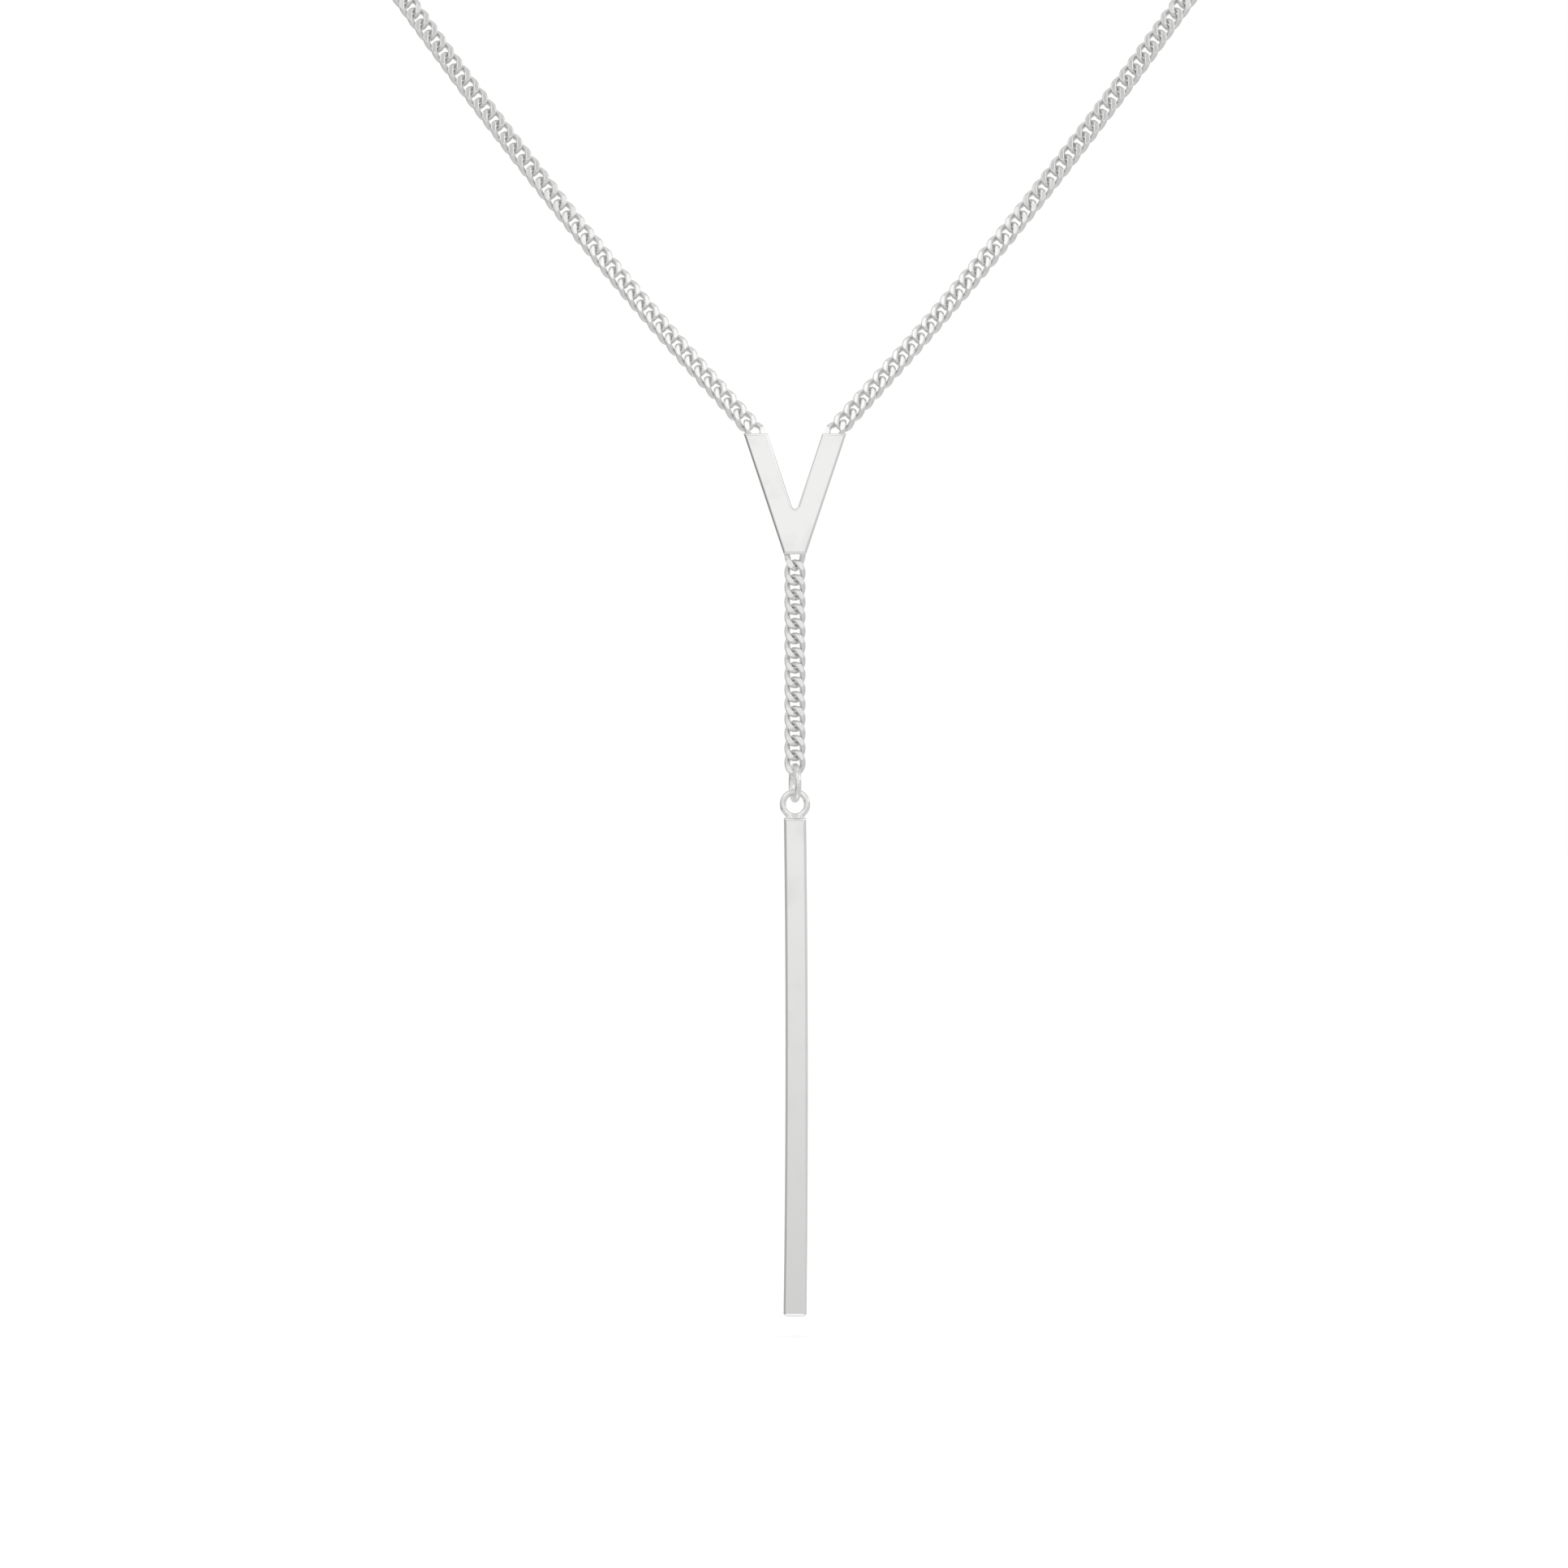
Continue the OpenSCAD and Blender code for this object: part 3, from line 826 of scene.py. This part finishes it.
def add_arm_links(name, node, chain, s, link, seed):
    """Adds copies of a link at the lengths s along the left arm, and mirrored along the right arm."""
    for number, side in enumerate(("left", "right")):
        places, axes = arm_route().frames(s, chain)
        shell = Shell()
        shell.add(*links_at(link, places, lean(axes, chain.uneven, seed + number)))
        shell.piece(f"{name}_{side}", "necklace", [f"{node}_{side}"],
                    [tumbled_wire(), bright_cut()], mirrored=side == "right")


class NECKLACE_OT_front_links(bpy.types.Operator):
    """Adds the curb links in the front stretch of both arms"""
    bl_idname = "necklace.front_links"
    bl_label = "Front links"

    def execute(self, context):
        chain = context.scene.necklace_chain
        s = chain.pitch * np.arange(1, chain.arm_links + 1)
        link = whole_link(chain, fine_turns(chain), FINE_SECTION)
        add_arm_links("front_links", "front_chain", chain, s, link, FRONT_SEED)
        return {"FINISHED"}


class NECKLACE_OT_back_links(bpy.types.Operator):
    """Adds the curb links that run round the neck to the clasp"""
    bl_idname = "necklace.back_links"
    bl_label = "Back links"

    def execute(self, context):
        chain = context.scene.necklace_chain
        start = chain.pitch * chain.arm_links
        stretch = arm_route().lengths[-1] - start
        count = round(stretch / chain.pitch)
        s = start + stretch * np.arange(1, count + 1) / count
        link = whole_link(chain, PLAIN_TURNS, PLAIN_SECTION)
        add_arm_links("back_links", "back_chain", chain, s, link, BACK_SEED)
        return {"FINISHED"}


class NECKLACE_OT_drop_links(bpy.types.Operator):
    """Adds the curb links of the short drop under the V"""
    bl_idname = "necklace.drop_links"
    bl_label = "Drop links"

    def execute(self, context):
        chain = context.scene.necklace_chain
        first = DROP_BOX[1, 2] - PACKED_LINK / 2
        places = np.zeros((chain.drop_links, 3))
        places[:, 1] = FRONT_Y
        places[:, 2] = first - chain.pitch * np.arange(chain.drop_links)
        axes = lean(np.repeat(DROP_AXES, chain.drop_links, axis=0), chain.uneven, DROP_SEED)
        link = whole_link(chain, fine_turns(chain), FINE_SECTION)
        shell = Shell()
        shell.add(*links_at(link, places, axes, hand=-1))
        shell.piece("drop_links", "necklace", ["drop_chain"],
                    [tumbled_wire(), bright_cut()])
        return {"FINISHED"}


# Sides of the jump ring's and the eye's wire, and steps round the jump ring
WIRE_SIDES = 20
RING_STEPS = 128
# Where the jump ring's ends meet, from the back of the ring, and half the width of their hairline,
# both as angles, and the hairline's depth over the wire's radius
JOINT_ANGLE, JOINT_WIDTH, JOINT_DEPTH = 0.6, 0.02, 0.08


class NECKLACE_OT_jump_ring(bpy.types.Operator):
    """Adds the jump ring, with the hairline of its closed joint"""
    bl_idname = "necklace.jump_ring"
    bl_label = "Jump ring"

    def execute(self, context):
        sizes = context.scene.necklace_bar
        radius = (RING_BOX[1, 2] - RING_BOX[0, 2] - sizes.ring_wire_d) / 2
        right = math.cos(sizes.ring_turn) * BACK - math.sin(sizes.ring_turn) * RIGHT
        around = 2 * math.pi * np.arange(RING_STEPS) / RING_STEPS
        joint = np.exp(-((around - JOINT_ANGLE) / JOINT_WIDTH) ** 2)
        wire = sizes.ring_wire_d / 2 * (1 - JOINT_DEPTH * joint)
        shell = Shell()
        shell.tube(planar_wire(circle(radius, RING_STEPS), RING_BOX.mean(axis=0), right, UP, wire,
                               WIRE_SIDES, True), True)
        shell.piece("jump_ring_wire", "ring", ["jump_ring"], [polished_wire()])
        return {"FINISHED"}


# Steps up the bar, over its long edges and round the eye, and rings along each end of the eye
BAR_STEPS = 40
LONG_EDGE_STEPS = 8
EYE_STEPS = 96
EYE_LEG_RINGS = 14
# Least size of the bar's long edges, kept where its ends draw in
LEAST_EDGE = 0.03 * MM
# Half the angle of the eye's circle that solder closes, and how much thinner it is than the wire
EYE_SOLDER_ANGLE, EYE_SOLDER_THIN = 0.5, 0.28
# Angle on the eye, below its middle, where its two ends leave the circle
EYE_LEG_ANGLE = -0.7
# Where an end starts inside the circle, as a share of its length, how far it goes into the bar, in
# radii of the wire, and how thick it is against the wire, so that it hides in the circle
EYE_LEG_START, EYE_LEG_SINK, EYE_LEG_THICK = -0.2, 0.5, 0.97
# Half length, half depth and height of the solder between the eye's feet, its rings and their sides,
# and the angle from its tips at which its end caps lie
SOLDER_SIZE = (0.5 * MM, 0.22 * MM, 0.24 * MM)
SOLDER_RINGS, SOLDER_SIDES = 15, 16
SOLDER_TIP = 0.1


class NECKLACE_OT_bar(bpy.types.Operator):
    """Adds the bar with its wire eye"""
    bl_idname = "necklace.bar"
    bl_label = "Bar and eye"

    def execute(self, context):
        sizes = context.scene.necklace_bar
        shell = Shell()
        self.add_bar(shell, sizes)
        self.add_eye(shell, sizes)
        shell.piece("bar_and_eye", "bar", ["bar_pendant"],
                    [polished_plate(), bright_cut(), polished_wire()])
        return {"FINISHED"}

    def add_bar(self, shell, sizes):
        """A rectangle with bevelled corners carried up the bar. Its middle line bows to the right by a
        parabola, and its width grows by a square law to its foot. At each end its width draws in by a
        quarter circle, and its depth by a softened bevel."""
        into, down = edge_profile(BEVEL_STEPS)
        from_foot, from_top = sizes.foot_end_r * down, sizes.top_end_r * down
        top_z = sizes.length - from_top[::-1]
        body_z = np.linspace(from_foot[-1], top_z[0], BAR_STEPS)[1:-1]
        along = np.concatenate([from_foot, body_z, top_z])
        body = np.zeros(len(body_z))
        foot_x, top_x = (r - np.sqrt(r ** 2 - np.clip(r - from_end, 0, r) ** 2)
                         for r, from_end in ((sizes.foot_r, from_foot), (sizes.top_r, from_top)))
        foot_x[0], top_x[0] = into[0] * sizes.foot_r, into[0] * sizes.top_r
        thin_x = np.concatenate([foot_x, body, top_x[::-1]])
        thin_y = np.concatenate([sizes.foot_end_r * into, body, sizes.top_end_r * into[::-1]])
        share = along / sizes.length
        half_x = sizes.width / 2 + sizes.flare / 2 * (1 - share) ** 2 - thin_x
        half_y = sizes.depth / 2 - thin_y
        bow = sizes.bow * 4 * share * (1 - share)
        across, back = edge_profile(LONG_EDGE_STEPS)
        edge = np.maximum(sizes.edge_r - np.maximum(thin_x, thin_y), LEAST_EDGE)[:, None]
        x1 = half_x[:, None] - edge * back
        y1 = half_y[:, None] - edge * across
        x = np.hstack([x1, -x1[:, ::-1], -x1, x1[:, ::-1]]) + bow[:, None]
        y = np.hstack([y1, y1[:, ::-1], -y1, -y1[:, ::-1]]) + FRONT_Y
        z = np.broadcast_to((BAR_BOX[0, 2] + along)[:, None], x.shape)
        shell.tube(np.stack([x, y, z], -1)[::-1], False)

    def add_eye(self, shell, sizes):
        """A wire bent round to a loop. Its two ends leave the circle on straight tangents and stand on
        the bar, and solder thinner than the wire closes the circle between them."""
        outer = BAR_BOX[1, 0] - BAR_BOX[0, 0]
        wire = sizes.eye_wire_d / 2
        inner = outer / 2 - 2 * wire
        centre = (0, FRONT_Y, BAR_BOX[1, 2] - outer / 2)
        around = 2 * math.pi * np.arange(EYE_STEPS) / EYE_STEPS
        solder = np.exp(-((around - 3 * QUARTER) / EYE_SOLDER_ANGLE) ** 4)
        radius = wire * (1 - EYE_SOLDER_THIN * solder)
        ring = (inner + radius)[:, None] * circle(1, EYE_STEPS)
        shell.tube(planar_wire(ring, centre, RIGHT, UP, radius, WIRE_SIDES, True), True, 2)
        shell.tube(self.solder(sizes, centre), False, 2)
        cos, sin = math.cos(EYE_LEG_ANGLE), math.sin(EYE_LEG_ANGLE)
        start = (inner + wire) * np.array([cos, sin])
        way = np.array([sin, -cos])
        bar_top = BAR_BOX[0, 2] + sizes.length - centre[2]
        drop = start[1] - bar_top + EYE_LEG_SINK * wire
        reach = drop / cos * np.linspace(EYE_LEG_START, 1, EYE_LEG_RINGS)[:, None]
        leg = start + way * reach
        for hand in (-1, 1):
            shell.tube(planar_wire(leg * (hand, 1), centre, RIGHT, UP, EYE_LEG_THICK * wire,
                                   WIRE_SIDES, False), False, 2)

    def solder(self, sizes, centre):
        """Solder that has run between the eye's two feet: an ellipsoid on the bar's top, whose sections
        along X are ellipses that shrink as the root of one minus x squared."""
        half_length, half_depth, height = SOLDER_SIZE
        x = np.cos(np.linspace(SOLDER_TIP, math.pi - SOLDER_TIP, SOLDER_RINGS))[:, None]
        around = 2 * math.pi * np.arange(SOLDER_SIDES) / SOLDER_SIDES
        shrink = np.sqrt(1 - x ** 2)
        top = BAR_BOX[0, 2] + sizes.length
        return np.stack([centre[0] + half_length * x + 0 * around,
                         FRONT_Y + half_depth * shrink * np.cos(around),
                         top + height * shrink * np.sin(around)], -1)


# Steps round the clasp's hoop, its small eye and the ring, and the sides of their wire
HOOP_STEPS, HOOP_SIDES = 96, 24
SMALL_EYE_STEPS, SMALL_EYE_SIDES = 64, 16
CLASP_RING_STEPS, CLASP_RING_SIDES = 80, 16


class NECKLACE_OT_clasp(bpy.types.Operator):
    """Adds the clasp with its small eye, and the ring that it holds"""
    bl_idname = "necklace.clasp"
    bl_label = "Clasp"

    def execute(self, context):
        sizes = context.scene.necklace_clasp
        outer = CLASP_BOX[1, 2] - CLASP_BOX[0, 2]
        z = CLASP_BOX[:, 2].mean()
        shell = Shell()
        shell.tube(wire_ring(outer, sizes.wire_d, (CLASP_BOX[1, 0] - outer / 2, NAPE_Y, z),
                             RIGHT, UP, HOOP_STEPS, HOOP_SIDES), True)
        shell.tube(wire_ring(sizes.eye_d, sizes.eye_wire_d,
                             (CLASP_BOX[0, 0] + sizes.eye_d / 2, NAPE_Y, z),
                             RIGHT, BACK, SMALL_EYE_STEPS, SMALL_EYE_SIDES), True)
        shell.piece("clasp_hoop", "necklace", ["clasp"], [polished_wire()])
        ring_outer, _, ring_wire = CLASP_RING_BOX[1] - CLASP_RING_BOX[0]
        shell = Shell()
        shell.tube(wire_ring(ring_outer, ring_wire, CLASP_RING_BOX.mean(axis=0),
                             RIGHT, BACK, CLASP_RING_STEPS, CLASP_RING_SIDES), True)
        shell.piece("clasp_ring_wire", "necklace", ["clasp_ring"], [polished_wire()])
        return {"FINISHED"}


OPERATORS = [NECKLACE_OT_stage, NECKLACE_OT_v_plate, NECKLACE_OT_front_links, NECKLACE_OT_back_links,
             NECKLACE_OT_drop_links, NECKLACE_OT_jump_ring, NECKLACE_OT_bar, NECKLACE_OT_clasp]


class NECKLACE_PT_sidebar(bpy.types.Panel):
    """Lists the pieces of the necklace and their sizes"""
    bl_label = "Y Necklace"
    bl_idname = "NECKLACE_PT_sidebar"
    bl_space_type = "VIEW_3D"
    bl_region_type = "UI"
    bl_category = "Necklace"

    def draw(self, context):
        for operator in OPERATORS:
            self.layout.operator(operator.bl_idname)
        for name, group in SETTINGS.items():
            box = self.layout.box()
            box.label(text=group.__doc__)
            for key in group.__annotations__:
                box.prop(getattr(context.scene, name), key)


def register():
    """Registers the settings, the operators and the sidebar."""
    for made in [*SETTINGS.values(), *OPERATORS, NECKLACE_PT_sidebar]:
        bpy.utils.register_class(made)
    for name, group in SETTINGS.items():
        setattr(bpy.types.Scene, name, bpy.props.PointerProperty(type=group))


def unregister():
    """Takes away what register added."""
    for name in SETTINGS:
        delattr(bpy.types.Scene, name)
    for made in [NECKLACE_PT_sidebar, *reversed(OPERATORS), *reversed(SETTINGS.values())]:
        bpy.utils.unregister_class(made)


def main():
    register()
    for operator in OPERATORS:
        group, name = operator.bl_idname.split(".")
        getattr(getattr(bpy.ops, group), name)()


if __name__ == "__main__":
    main()
